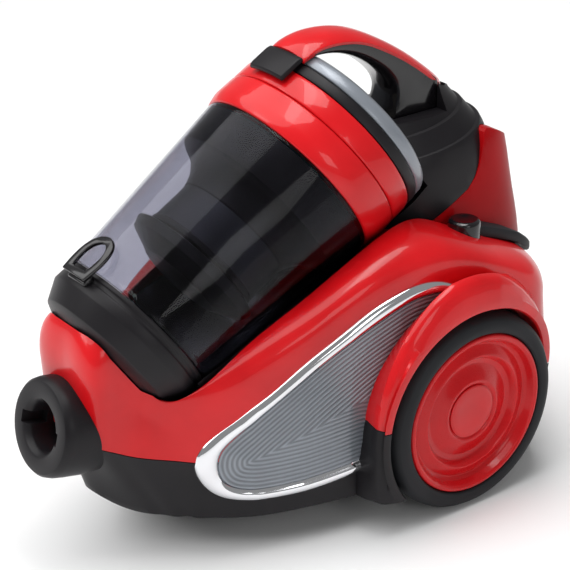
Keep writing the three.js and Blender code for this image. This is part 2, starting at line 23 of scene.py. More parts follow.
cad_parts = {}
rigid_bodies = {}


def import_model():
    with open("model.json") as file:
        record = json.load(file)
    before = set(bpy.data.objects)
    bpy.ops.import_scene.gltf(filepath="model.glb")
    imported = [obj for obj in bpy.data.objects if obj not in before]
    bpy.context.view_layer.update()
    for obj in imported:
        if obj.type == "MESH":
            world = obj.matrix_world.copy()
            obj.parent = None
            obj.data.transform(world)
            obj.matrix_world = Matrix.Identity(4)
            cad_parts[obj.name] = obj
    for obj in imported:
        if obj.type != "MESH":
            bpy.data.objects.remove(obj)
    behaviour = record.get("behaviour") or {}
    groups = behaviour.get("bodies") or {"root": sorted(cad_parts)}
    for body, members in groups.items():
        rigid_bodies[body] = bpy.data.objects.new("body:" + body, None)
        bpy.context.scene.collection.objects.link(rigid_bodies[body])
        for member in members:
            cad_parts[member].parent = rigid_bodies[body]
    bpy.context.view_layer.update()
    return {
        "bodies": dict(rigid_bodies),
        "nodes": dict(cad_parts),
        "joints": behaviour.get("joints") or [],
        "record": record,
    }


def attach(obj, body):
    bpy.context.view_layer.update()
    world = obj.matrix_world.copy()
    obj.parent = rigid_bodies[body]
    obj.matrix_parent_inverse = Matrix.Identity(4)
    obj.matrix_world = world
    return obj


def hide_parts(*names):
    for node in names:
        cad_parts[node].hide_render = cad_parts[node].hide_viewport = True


LOG = logging.getLogger("vacuum")
MM = 0.001
AXLE_Y = 89.0
AXLE_Z = 89.0
Point = tuple[float, float, float]
Pair = tuple[float, float]
Piece = bpy.types.Object
Tree = bpy.types.NodeTree
Socket = bpy.types.NodeSocket


class Side(Enum):
    """Which flank a piece is on, as the sign of its X."""

    RIGHT = 1
    LEFT = -1


# ---- finishes ----


def linear(code: str, alpha: float = 1.0) -> tuple[float, float, float, float]:
    """Turns an sRGB colour into a linear one.

    Args:
        code: The hex code, such as "c4161c".
        alpha: How opaque it is.

    Returns:
        Linear red, green, blue and alpha.
    """
    parts = [int(code[i : i + 2], 16) / 255 for i in (0, 2, 4)]
    r, g, b = (c / 12.92 if c <= 0.04045 else ((c + 0.055) / 1.055) ** 2.4 for c in parts)
    return (r, g, b, alpha)


def add_node(tree: Tree, kind: str, links: dict | None = None, **settings: object) -> bpy.types.Node:
    """Adds a shader node.

    Args:
        tree: The material's node tree.
        kind: The node's type, without the ShaderNode prefix.
        links: Input name or index to the output socket that feeds it.
        settings: Input names, with _ for a space, or node properties, and their values.

    Returns:
        The new node.
    """
    node = tree.nodes.new("ShaderNode" + kind)
    for key, value in settings.items():
        socket = node.inputs.get(key.replace("_", " "))
        if socket is not None and not hasattr(type(node), key):
            socket.default_value = value
        else:
            setattr(node, key, value)
    for key, output in (links or {}).items():
        tree.links.new(output, node.inputs[key])
    return node


@dataclass(frozen=True)
class Finish:
    """A moulded, turned or plated surface and the marks its making leaves."""

    name: str
    colour: str
    shade: str  # the colour in the mottled patches
    roughness: float
    roughness_spread: float = 0.05
    metallic: float = 0.0
    ior: float = 1.5
    specular: float = 0.5
    coat: float = 0.0
    coat_roughness: float = 0.03
    grain_mm: float = 1.2
    grain_depth_mm: float = 0.02
    mottle_mm: float = 60.0

    def make(self) -> bpy.types.Material:
        """Builds the node material.

        Returns:
            The new material.
        """
        material = bpy.data.materials.new(self.name)
        material.use_nodes = True
        tree = material.node_tree
        tree.nodes.clear()
        place = add_node(tree, "TexCoord").outputs["Object"]
        mottle = add_node(tree, "TexNoise", {"Vector": place}, Scale=1000 / self.mottle_mm, Detail=3.0)
        colour = add_node(tree, "ValToRGB", {"Fac": mottle.outputs["Fac"]})
        colour.color_ramp.elements[0].position = 0.35
        colour.color_ramp.elements[0].color = linear(self.shade)
        colour.color_ramp.elements[1].position = 0.65
        colour.color_ramp.elements[1].color = linear(self.colour)
        grain = add_node(tree, "TexNoise", {"Vector": place}, Scale=1000 / self.grain_mm, Detail=2.0)
        rough = add_node(
            tree, "MapRange", {"Value": grain.outputs["Fac"]},
            To_Min=max(0.0, self.roughness - self.roughness_spread), To_Max=self.roughness + self.roughness_spread,
        )
        height = self.relief(tree, place, grain.outputs["Fac"])
        bump = add_node(tree, "Bump", {"Height": height}, Strength=1.0, Distance=self.grain_depth_mm * MM)
        shader = add_node(
            tree, "BsdfPrincipled",
            {"Base Color": self.paint(tree, place, colour.outputs["Color"]), "Roughness": rough.outputs["Result"],
             "Normal": bump.outputs["Normal"]},
            Metallic=self.metallic, IOR=self.ior, Coat_Weight=self.coat, Coat_Roughness=self.coat_roughness,
        )
        shader.inputs["Specular IOR Level"].default_value = self.specular
        self.tune(shader)
        add_node(tree, "OutputMaterial", {"Surface": shader.outputs["BSDF"]})
        return material

    def relief(self, tree: Tree, place: Socket,
        grain: Socket) -> Socket:
        """The height that the bump follows."""
        return grain

    def paint(self, tree: Tree, place: Socket,
        colour: Socket) -> Socket:
        """The colour that reaches the shader."""
        return colour

    def tune(self, shader: bpy.types.Node) -> None:
        """Sets what only some finishes need."""


@dataclass(frozen=True)
class ClearFinish(Finish):
    """Clear or smoked polycarbonate, seen through."""

    def tune(self, shader: bpy.types.Node) -> None:
        """Lets light through the wall."""
        shader.inputs["Transmission Weight"].default_value = 1.0


@dataclass(frozen=True)
class RibbedFinish(Finish):
    """A panel of fine moulded ribs that run along its edge, each a pitch further in than the last."""

    pitch_mm: float = 3.8

    def relief(self, tree: Tree, place: Socket,
        grain: Socket) -> Socket:
        """The ribs, in place of the grain."""
        return self.ribs(tree)

    def ribs(self, tree: Tree) -> Socket:
        """A wave that steps in from the panel's edge.

        Args:
            tree: The material's node tree.

        Returns:
            A value from 0 in the grooves to 1 on the ribs.
        """
        distance = add_node(tree, "Attribute", attribute_name="rib_distance")
        turns = add_node(tree, "Math", {0: distance.outputs["Fac"]}, operation="MULTIPLY")
        turns.inputs[1].default_value = 2 * math.pi / self.pitch_mm
        wave = add_node(tree, "Math", {0: turns.outputs[0]}, operation="SINE")
        half = add_node(tree, "Math", {0: wave.outputs[0]}, operation="MULTIPLY_ADD")
        half.inputs[1].default_value = 0.5
        half.inputs[2].default_value = 0.5
        return half.outputs[0]

    def paint(self, tree: Tree, place: Socket,
        colour: Socket) -> Socket:
        """Darkens the grooves, where little light reaches.

        Args:
            tree: The material's node tree.
            place: The object coordinates, which the ribs don't follow.
            colour: The panel's colour.

        Returns:
            The colour, darkened in the grooves.
        """
        depth = add_node(tree, "MapRange", {"Value": self.ribs(tree)}, To_Min=0.55, To_Max=1.0)
        links = {0: colour, "Scale": depth.outputs["Result"]}
        return add_node(tree, "VectorMath", links, operation="SCALE").outputs["Vector"]


# ABS, moulded in a polished tool and lacquered: a deep even red with a hard clear highlight.
GLOSS_RED = Finish("lacquered_red_abs", "d6141b", "c40e15", 0.3, 0.02, specular=0.15, coat=0.45,
    coat_roughness=0.03, grain_mm=2.5, grain_depth_mm=0.003)
# The same red on the hubs, with a thinner coat and a softer highlight.
SATIN_RED = Finish("moulded_red_abs", "cc1219", "be0e15", 0.28, 0.03, specular=0.15, coat=0.3, coat_roughness=0.06,
    grain_mm=1.0, grain_depth_mm=0.004)
# The rear of the tower, in a darker red with little gloss.
DEEP_RED = Finish("lacquered_deep_red_abs", "a60a10", "98080d", 0.36, 0.02, specular=0.05, coat=0.06,
    coat_roughness=0.06, grain_mm=2.5, grain_depth_mm=0.004)
# ABS with a spark-eroded texture: soft grey-black with a broad highlight.
TEXTURED_BLACK = Finish("textured_black_abs", "1c1a1d", "161417", 0.42, 0.06, specular=0.22, grain_mm=0.9,
    grain_depth_mm=0.02)
# ABS from a polished tool.
POLISHED_BLACK = Finish("polished_black_abs", "131114", "0f0d10", 0.2, 0.03, specular=0.35, coat=0.35,
    coat_roughness=0.05, grain_mm=2.0, grain_depth_mm=0.004)
# Zinc-grey lacquer on the cap.
GREY_LACQUER = Finish("grey_lacquer", "8b9098", "80868e", 0.34, 0.04, metallic=0.25, coat=0.3, grain_mm=0.8,
    grain_depth_mm=0.004)
# Chromium plate on plastic: a mirror with almost no grain.
PLATED = Finish("chromium_plate", "e4e5e8", "dcdde0", 0.07, 0.02, metallic=1.0, grain_mm=6.0, grain_depth_mm=0.003)
# Grey lacquer over moulded ribs.
RIBBED_GREY = RibbedFinish("ribbed_grey_abs", "9298a0", "8a9098", 0.3, 0.04, metallic=0.35, coat=0.3,
    grain_depth_mm=0.7)
# Polycarbonate with a grey tint, polished inside and out.
SMOKED = ClearFinish("smoked_polycarbonate", "bdbdc7", "b7b7c2", 0.03, 0.01, ior=1.2, specular=0.3, grain_mm=8.0,
    grain_depth_mm=0.002)
# Thermoplastic rubber: dark, slightly dusty, no sharp highlight.
SOFT_RUBBER = Finish("thermoplastic_rubber", "222326", "1b1c1f", 0.55, 0.06, specular=0.2, grain_mm=0.7,
    grain_depth_mm=0.02)
# Zinc-plated steel for pins and axles.
ZINC_STEEL = Finish("zinc_plated_steel", "b9bcc0", "aeb1b5", 0.32, 0.08, metallic=1.0, grain_mm=0.6,
    grain_depth_mm=0.006)
# Perforated stainless sheet, coloured dark grey.
DARK_SCREEN = Finish("perforated_steel", "34353a", "26272b", 0.45, 0.05, metallic=0.5, grain_mm=1.6,
    grain_depth_mm=0.12)
# Enamelled copper windings.
WOUND_COPPER = Finish("enamelled_copper", "b4622d", "99501f", 0.35, 0.08, metallic=1.0, grain_mm=0.9,
    grain_depth_mm=0.08)
# Open-cell polyurethane foam.
OPEN_FOAM = Finish("open_cell_foam", "2a2a2c", "18181a", 0.95, 0.03, grain_mm=1.4, grain_depth_mm=0.5)
# Pleated glass-fibre paper.
FILTER_PAPER = Finish("filter_paper", "d8d4c6", "ccc7b6", 0.9, 0.05, grain_mm=0.5, grain_depth_mm=0.08)

CAD_FINISHES = {
    "red": GLOSS_RED, "black": TEXTURED_BLACK, "gloss_black": POLISHED_BLACK, "satin_grey": GREY_LACQUER,
    "chrome": PLATED, "grille_grey": RIBBED_GREY, "smoke": SMOKED, "rubber": SOFT_RUBBER, "steel": ZINC_STEEL,
    "copper": WOUND_COPPER, "foam": OPEN_FOAM, "paper": FILTER_PAPER, "reel": TEXTURED_BLACK,
}
MADE: dict[str, bpy.types.Material] = {}


def material_for(finish: Finish) -> bpy.types.Material:
    """The finish's material, built the first time it is asked for.

    Args:
        finish: The finish.

    Returns:
        Its material.
    """
    if finish.name not in MADE:
        MADE[finish.name] = finish.make()
    return MADE[finish.name]


# ---- bench tools ----


def clear_selection() -> None:
    """Leaves edit mode and deselects everything."""
    if bpy.context.object is not None and bpy.context.object.mode != "OBJECT":
        bpy.ops.object.mode_set(mode="OBJECT")
    bpy.ops.object.select_all(action="DESELECT")


def take(piece: Piece) -> None:
    """Makes one piece the only selected and active one.

    Args:
        piece: The piece.
    """
    clear_selection()
    piece.select_set(True)
    bpy.context.view_layer.objects.active = piece


def named(name: str) -> Piece:
    """Names the object that was just added.

    Args:
        name: The name, also for its mesh.

    Returns:
        The object.
    """
    piece = bpy.context.object
    piece.name = name
    piece.data.name = name
    return piece


def pick(piece: Piece, test: Callable[[Vector], bool]) -> None:
    """In edit mode, selects only the vertices whose place passes a test.

    Args:
        piece: The piece.
        test: Given a place in metres, says whether to select it.
    """
    bpy.ops.mesh.select_all(action="DESELECT")
    net = bmesh.from_edit_mesh(piece.data)
    for vertex in net.verts:
        vertex.select = test(vertex.co)
    net.select_flush(True)
    bmesh.update_edit_mesh(piece.data)


def face_out(piece: Piece) -> None:
    """Merges doubled vertices and turns every face outwards.

    Args:
        piece: The piece.
    """
    take(piece)
    bpy.ops.object.mode_set(mode="EDIT")
    bpy.ops.mesh.select_all(action="SELECT")
    bpy.ops.mesh.remove_doubles(threshold=1e-6)
    bpy.ops.mesh.normals_make_consistent(inside=False)
    bpy.ops.object.mode_set(mode="OBJECT")


def turned(name: str, profile: Sequence[Pair], sides: int = 128) -> Piece:
    """Turns a profile about Z, ring by ring.

    Args:
        name: The piece's name.
        profile: (radius, height) pairs; a first or last radius of 0 closes that end flat.
        sides: How many facets go round.

    Returns:
        The turned piece.
    """
    clear_selection()
    rings = [p for p in profile if p[0] > 0]
    (r, z) = rings[0]
    bpy.ops.mesh.primitive_circle_add(vertices=sides, radius=r * MM, location=(0, 0, 0))
    piece = named(name)
    piece.data.transform(Matrix.Translation((0, 0, z * MM)))
    bpy.ops.object.mode_set(mode="EDIT")
    bpy.ops.mesh.select_all(action="SELECT")
    first_z, first_r = z * MM, r * MM
    for r1, z1 in rings[1:]:
        bpy.ops.mesh.extrude_region_move(TRANSFORM_OT_translate={"value": (0, 0, (z1 - z) * MM)})
        if r1 != r:
            bpy.ops.transform.resize(value=(r1 / r, r1 / r, 1), center_override=(0, 0, 0))
        r, z = r1, z1
    if profile[-1][0] <= 0:
        bpy.ops.mesh.edge_face_add()
    if profile[0][0] <= 0:
        pick(piece, lambda p: abs(p.z - first_z) < 1e-7 and abs(math.hypot(p.x, p.y) - first_r) < 1e-6)
        bpy.ops.mesh.edge_face_add()
    face_out(piece)
    return piece


def prism(name: str, outline: Sequence[Pair], low: float, high: float, axis: str = "X") -> Piece:
    """Extrudes a flat outline.

    Args:
        name: The piece's name.
        outline: Corners in the plane square to the axis: (y, z), (x, z) or (x, y).
        low: Where the extrusion starts.
        high: Where it ends.
        axis: The axis it runs along.

    Returns:
        The extruded piece.
    """
    clear_selection()
    bpy.ops.mesh.primitive_circle_add(vertices=len(outline), radius=1, fill_type="NGON")
    piece = named(name)
    for vertex, (a, b) in zip(piece.data.vertices, outline):
        place = {"X": (low, a, b), "Y": (a, low, b), "Z": (a, b, low)}[axis]
        vertex.co = Vector(place) * MM
    bpy.ops.object.mode_set(mode="EDIT")
    bpy.ops.mesh.select_all(action="SELECT")
    step = [(high - low) * MM if axis == k else 0 for k in "XYZ"]
    bpy.ops.mesh.extrude_region_move(TRANSFORM_OT_translate={"value": step})
    face_out(piece)
    return piece


def brick(name: str, low: Point, high: Point) -> Piece:
    """A block between two corners, as a start for a cutter or a shaped piece.

    Args:
        name: The piece's name.
        low: The corner with the smallest coordinates.
        high: The corner with the largest.

    Returns:
        The block.
    """
    clear_selection()
    bpy.ops.mesh.primitive_cube_add(size=1)
    piece = named(name)
    size = [(b - a) * MM for a, b in zip(low, high)]
    middle = [(a + b) / 2 * MM for a, b in zip(low, high)]
    piece.data.transform(Matrix.Translation(middle) @ Matrix.Diagonal((*size, 1)))
    return piece


def sheet_of(name: str, rows: np.ndarray) -> Piece:
    """Bends a grid through rows of points.

    Args:
        name: The piece's name.
        rows: Points in millimetres, rows by columns by three.

    Returns:
        The surface, one vertex for each point.
    """
    clear_selection()
    count, width = rows.shape[:2]
    bpy.ops.mesh.primitive_grid_add(x_subdivisions=width - 1, y_subdivisions=count - 1, size=2)
    piece = named(name)
    piece.data.vertices.foreach_set("co", (rows * MM).astype(np.float32).reshape(-1))
    piece.data.update()
    return piece


def cubic(knots: np.ndarray, values: np.ndarray, at: np.ndarray) -> np.ndarray:
    """A natural cubic spline through values at knots, read at new places.

    Args:
        knots: Rising places along the curve.
        values: A row for each knot.
        at: The places to read.

    Returns:
        A row for each place read.
    """
    n = len(knots)
    h = np.diff(knots)
    system = np.zeros((n, n))
    right = np.zeros((n, values.shape[1]))
    system[0, 0] = system[-1, -1] = 1
    for i in range(1, n - 1):
        system[i, i - 1 : i + 2] = h[i - 1], 2 * (h[i - 1] + h[i]), h[i]
        right[i] = 6 * ((values[i + 1] - values[i]) / h[i] - (values[i] - values[i - 1]) / h[i - 1])
    bend = np.linalg.solve(system, right)
    k = np.clip(np.searchsorted(knots, at) - 1, 0, n - 2)
    a = ((knots[k + 1] - at) / h[k])[:, None]
    b = 1 - a
    hh = (h[k] ** 2)[:, None] / 6
    return a * values[k] + b * values[k + 1] + ((a**3 - a) * bend[k] + (b**3 - b) * bend[k + 1]) * hh


def through(points: Sequence[Sequence[float]], count: int) -> np.ndarray:
    """Evenly spaced points on a smooth curve through the given ones.

    Args:
        points: The points that the curve goes through.
        count: How many points to return.

    Returns:
        A row for each point.
    """
    values = np.array(points, float)
    knots = np.concatenate([[0], np.cumsum(np.linalg.norm(np.diff(values, axis=0), axis=1))])
    return cubic(knots, values, np.linspace(0, knots[-1], count))


def carve(piece: Piece, tool: Piece, operation: str = "DIFFERENCE") -> Piece:
    """Cuts, joins or meets a piece with a tool, and puts the tool away.

    Args:
        piece: The piece.
        tool: The solid to cut with, which is removed.
        operation: DIFFERENCE, UNION or INTERSECT.

    Returns:
        The piece.
    """
    take(piece)
    modifier = piece.modifiers.new("carve", "BOOLEAN")
    modifier.operation = operation
    modifier.solver = "EXACT"
    modifier.object = tool
    bpy.ops.object.modifier_apply(modifier=modifier.name)
    bpy.data.objects.remove(tool, do_unlink=True)
    return piece


def modified(piece: Piece, kind: str, **settings: object) -> Piece:
    """Adds a modifier with its settings and applies it.

    Args:
        piece: The piece.
        kind: The modifier's type.
        settings: The modifier's properties and their values.

    Returns:
        The piece.
    """
    take(piece)
    modifier = piece.modifiers.new(kind.lower(), kind)
    for key, value in settings.items():
        setattr(modifier, key, value)
    bpy.ops.object.modifier_apply(modifier=modifier.name)
    return piece


def rounded(piece: Piece, width: float, segments: int = 3, angle: float = 30) -> Piece:
    """Rounds every edge sharper than an angle.

    Args:
        piece: The piece.
        width: The width of the rounding.
        segments: How many facets go round it.
        angle: In degrees.

    Returns:
        The piece.
    """
    return modified(
        piece, "BEVEL", width=width * MM, segments=segments, limit_method="ANGLE",
        angle_limit=math.radians(angle), harden_normals=False, use_clamp_overlap=True,
    )


def walled(piece: Piece, thickness: float) -> Piece:
    """Gives a surface a wall on its inner side."""
    return modified(piece, "SOLIDIFY", thickness=thickness * MM, offset=-1, use_even_offset=False)


def capped(piece: Piece) -> Piece:
    """Closes a surface's open ends with flat faces.

    Args:
        piece: The piece.

    Returns:
        The piece.
    """
    take(piece)
    bpy.ops.object.mode_set(mode="EDIT")
    bpy.ops.mesh.select_all(action="DESELECT")
    bpy.ops.mesh.select_mode(type="EDGE")
    bpy.ops.mesh.select_non_manifold()
    bpy.ops.mesh.edge_face_add()
    bpy.ops.mesh.select_mode(type="VERT")
    bpy.ops.object.mode_set(mode="OBJECT")
    face_out(piece)
    return piece


def mirrored(piece: Piece, name: str) -> Piece:
    """A mirror image across X = 0, with a mesh of its own.

    Args:
        piece: The piece.
        name: The name of the image.

    Returns:
        The image.
    """
    take(piece)
    bpy.ops.object.duplicate()
    copy = named(name)
    copy.data.transform(Matrix.Diagonal((-1, 1, 1, 1)))
    copy.data.flip_normals()
    return copy


def hand_over(
    piece: Piece, finish: Finish, body: str, stands_for: Sequence[str] = (),
    angle: float = 32,
) -> Piece:
    """Smooths and paints a finished piece, and puts it on its body.

    Args:
        piece: The finished piece.
        finish: What its surface is.
        body: The body that it rides on.
        stands_for: The frame's nodes that it replaces.
        angle: Edges sharper than this stay sharp.

    Returns:
        The piece.
    """
    take(piece)
    bpy.ops.object.shade_smooth_by_angle(angle=math.radians(angle))
    piece.data.materials.clear()
    piece.data.materials.append(material_for(finish))
    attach(piece, body)
    if stands_for:
        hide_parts(*stands_for)
    LOG.info("%s: %d faces on %s", piece.name, len(piece.data.polygons), body)
    return piece


def hand_over_pair(
    piece: Piece, finish: Finish, bodies: Sequence[str], node: str = "", angle: float = 32,
) -> None:
    """Mirrors a finished right-hand piece and hands over both.

    Args:
        piece: The right-hand piece, with right in its name.
        finish: What its surface is.
        bodies: The bodies of the right-hand and the left-hand piece.
        node: The frame's nodes that they replace, without _right and _left, or nothing.
        angle: Edges sharper than this stay sharp.
    """
    left = mirrored(piece, piece.name.replace("right", "left"))
    for one, body, side in zip((piece, left), bodies, Side):
        hand_over(one, finish, body, [f"{node}_{side.name.lower()}"] if node else (), angle)


def at_axle(piece: Piece, x: float = 0.0) -> Piece:
    """Turns a piece drawn about Z, face up, to face +X on the axis of the wheels.

    Args:
        piece: The piece.
        x: Where its Z = 0 goes along X.

    Returns:
        The piece.
    """
    turn = Matrix.Rotation(math.pi / 2, 4, "Y")
    piece.data.transform(Matrix.Translation((x * MM, AXLE_Y * MM, AXLE_Z * MM)) @ turn)
    return piece


# ---- the dust cup, drawn about its own axis and leaned into place ----


@dataclass
class DustCup:
    """The clear bin with its lid, rings, cap and cyclone."""

    foot_y: float = -150.3
    foot_z: float = 188.7
    tilt: float = 55.5
    creep: float = 0.068

    def lean(self) -> Matrix:
        """Where the cup leans.

        Returns:
            The matrix from its own frame, Z along its axis and +Y towards the body, to the scene's.
        """
        shear = Matrix.Identity(4)
        shear[1][2] = self.creep
        turn = Matrix.Rotation(-math.radians(self.tilt), 4, "X")
        return Matrix.Translation((0, self.foot_y * MM, self.foot_z * MM)) @ turn @ shear

    def seat(self, piece: Piece) -> Piece:
        """Leans a piece drawn upright into place."""
        piece.data.transform(self.lean())
        return piece

    def room(self) -> Piece:
        """The space that the body leaves for the cup.

        Returns:
            The cutter, leaned into place.
        """
        return self.seat(turned("cup_room", [
            (0, -42.2), (51, -42.2), (63.2, -36), (71.8, -19.6), (73, -18), (73.4, 0), (80, 90), (87, 172),
            (90, 180), (90.4, 236),
            (89, 252), (0, 252),
        ], 128))

    def build(self) -> None:
        """Models every piece of the cup."""
        self.lid()
        self.bin()
        self.cyclone()
        self.rings()
        self.cap()
        self.latch()

    def lid(self) -> None:
        """The black lid over the mouth of the bin, with its stepped belt."""
        lid = turned("bin_lid_shell", [
            (0, -41), (34, -41), (36, -39.5), (44, -39.5), (46, -41), (50, -41), (62, -35), (70.4, -19),
            (71.2, -17.5),
            (71.2, -9), (70.2, -8), (70.2, -5), (71.6, -4), (71.6, -0.6), (66, -0.6), (66, -11), (0, -11),
        ])
        rounded(lid, 1.2, 3)
        hand_over(self.seat(lid), TEXTURED_BLACK, "cup", ["bin_lid"])

    def bin(self) -> None:
        """The smoked bin, flared towards its collar, with a bead round its mouth."""
        wall = turned("clear_bin", [
            (68.6, 0), (72.2, 0), (72.8, 2), (72.0, 4.5), (71.6, 6), (78.4, 88), (85.4, 172), (85.4, 174.8),
            (83.0, 174.8),
            (76.0, 88), (69.2, 6), (68.6, 0),
        ])
        rounded(wall, 0.5, 2)
        hand_over(self.seat(wall), SMOKED, "cup", ["dust_bin"])

    def cyclone(self) -> None:
        """The dark separator inside the bin: skirt, perforated barrel and flared shoulder."""
        skirt = turned("separator_skirt", [
            (0, 47), (36, 47), (38, 48.5), (58, 57.5), (61, 65.5), (60, 67), (56, 61), (36, 54), (34, 69.5),
            (0, 69.5),
        ])
        rounded(skirt, 0.8, 2)
        hand_over(self.seat(skirt), TEXTURED_BLACK, "cup", ["cyclone_skirt"])
        barrel = turned("separator_barrel", [
            (0, 70), (52.6, 70), (52.6, 75), (51, 76), (51, 110), (52.6, 111), (53, 113.5), (56, 121), (63, 129.5),
            (72, 135),
            (78.6, 137.5), (80.5, 150), (82.3, 172), (77, 172), (75, 141), (58, 133), (47, 117), (47, 74), (0, 74),
        ])
        rounded(barrel, 0.8, 2)
        hand_over(self.seat(barrel), TEXTURED_BLACK, "cup", ["cyclone_body"])
        screen = turned("separator_screen", [(50.6, 75.5), (51.6, 75.5), (51.6, 110), (50.6, 110), (50.6, 75.5)])
        hand_over(self.seat(screen), DARK_SCREEN, "cup", ["mesh_screen"])

    def rings(self) -> None:
        """The red collar and separator ring, and the black band over them."""
        collar = turned("bin_collar_ring", [
            (80, 175.2), (85.8, 175.2), (86.8, 176.5), (88.4, 183), (88.9, 186), (88.9, 188), (88.5, 203.5),
            (87.6, 204.8),
            (80, 204.8), (80, 175.2),
        ])
        rounded(collar, 0.7, 3)
        hand_over(self.seat(collar), GLOSS_RED, "cup", ["bin_collar"])
        upper = turned("separator_housing", [
            (80, 205.3), (87.2, 205.3), (88.2, 206.6), (88.0, 222), (87.0, 225.6), (80, 225.6), (80, 205.3),
        ])
        rounded(upper, 0.9, 3)
        hand_over(self.seat(upper), GLOSS_RED, "cup", ["separator_ring"])
        band = turned("cap_band_ring", [
            (78, 226.2), (87.3, 226.2), (87.6, 228), (87.4, 234.6), (86.4, 235.8), (78, 235.8), (78, 226.2),
        ])
        rounded(band, 0.6, 2)
        hand_over(self.seat(band), TEXTURED_BLACK, "cup", ["cap_band"])

    def cap(self) -> None:
        """The grey cap with its outlet."""
        cap = turned("cap_cover", [
            (28, 238.3), (78, 238.3), (78, 236.4), (86.2, 236.4), (86.7, 238), (86.4, 243), (84.4, 247.4),
            (80, 250), (72, 250.8), (34, 250.8),
            (31, 247), (28, 247), (28, 238.3),
        ])
        rounded(cap, 1.0, 3)
        hand_over(self.seat(cap), GREY_LACQUER, "cup", ["cap_dome"])

    def latch(self) -> None:
        """The spring loop that holds the lid shut."""
        loop = through([(-15, -13), (-17, 4), (-12, 22), (0, 28), (12, 22), (17, 4), (15, -13)], 40)
        inner = through([(-9, -6), (-10.5, 4), (-7.5, 17), (0, 21), (7.5, 17), (10.5, 4), (9, -6)], 32)
        outline = [(x, s) for x, s in loop]
        body = prism("latch_loop", outline, -80.5, -77, "Y")
        carve(body, prism("latch_window", [(x, s) for x, s in inner], -90, -70, "Y"))
        rounded(body, 0.9, 3)
        hand_over(self.seat(body), POLISHED_BLACK, "lid_latch", ["lid_latch"])
        block = brick("latch_keeper", (-12, -74.5, -15), (12, -60, -5))
        rounded(block, 2.0, 3)
        hand_over(self.seat(block), POLISHED_BLACK, "cup")


# ---- wheels ----


@dataclass
class Wheels:
    """The two large wheels, each a soft tyre on a dished hub."""

    face_x: float = 150.0

    def build(self) -> None:
        """Models both wheels."""
        tyre = at_axle(rounded(turned("tyre_right_side", [
            (72.1, -40), (86, -40), (88.6, -37), (89, -33), (89, -14), (87.6, -7), (84, -2.4), (79, -0.4),
            (73.6, -0.9),
            (72.1, -3), (72.1, -40),
        ], 160), 0.8, 2), self.face_x)
        hub = at_axle(rounded(turned("hub_right_side", [
            (7.2, -38), (16, -38), (18, -17), (68, -17), (68, -36), (71.6, -36), (71.6, -3.2), (70.6, -1.6),
            (68.6, -1.2),
            (66.2, -2.6), (63.8, -8.5), (60.5, -11.0), (53.5, -7.4), (50.6, -6.2), (48.6, -8.2), (46.8, -12.2),
            (42, -13.6),
            (34, -10.4), (28.2, -7.4), (26.0, -7.8), (24.4, -9.2), (7.2, -9.2), (7.2, -38),
        ], 160), 0.7, 3), self.face_x)
        cap = at_axle(rounded(turned("cap_right_side", [
            (0, -9.0), (23.6, -9.0), (23.6, -8.2), (21, -7.6), (14, -9.4 + 1.0), (6, -8.9), (0, -8.9),
        ], 96), 0.3, 2), self.face_x)
        bodies = ("wheel_right", "wheel_left")
        hand_over_pair(tyre, SOFT_RUBBER, bodies, "wheel_tyre")
        hand_over_pair(hub, SATIN_RED, bodies, "wheel_hub")
        hand_over_pair(cap, GLOSS_RED, bodies, "wheel_cap")


# ---- body ----


@dataclass(frozen=True)
class Station:
    """One upright section of the body's flank: rim, shoulder, seam, and the tray under it."""

    rim: Point
    belt: Point
    seam: Point
    skirt: Point
    fullness: float = 0.82

    def upper(self, shoulder: int = 14, side: int = 8) -> np.ndarray:
        """Points of the red shell, from its rim down to the seam.

        Args:
            shoulder: How many steps go round the shoulder.
            side: How many go down the side.

        Returns:
            A row for each point.
        """
        rim, belt, seam = (np.array(p, float) for p in (self.rim, self.belt, self.seam))
        points = []
        for i in range(shoulder + 1):
            a = math.pi / 2 * i / shoulder
            out, down = math.sin(a) ** self.fullness, 1 - math.cos(a) ** self.fullness
            flat = rim[:2] + (belt[:2] - rim[:2]) * out
            points.append([*flat, rim[2] + (belt[2] - rim[2]) * down])
        points += [belt + (seam - belt) * i / side for i in range(1, side + 1)]
        return np.array(points)

    def lower(self, side: int = 10) -> np.ndarray:
        """Points of the black tray, from the seam down to the skirt and in under the floor.

        Args:
            side: How many steps go down the side.

        Returns:
            A row for each point.
        """
        seam, skirt = np.array(self.seam, float) - (0, 0, 0.8), np.array(self.skirt, float)
        points = [seam + (skirt - seam) * i / side for i in range(side + 1)]
        inward = np.array([skirt[0] * 0.93, skirt[1] + (3 if skirt[1] < 0 else -3), skirt[2] - 1.5])
        points += [(points[-1] * 2 + inward) / 3 - (0, 0, 0.5), inward,
            [skirt[0] * 0.5, inward[1], skirt[2] - 1.5], [0, inward[1], skirt[2] - 1.5]]
        return np.array(points)


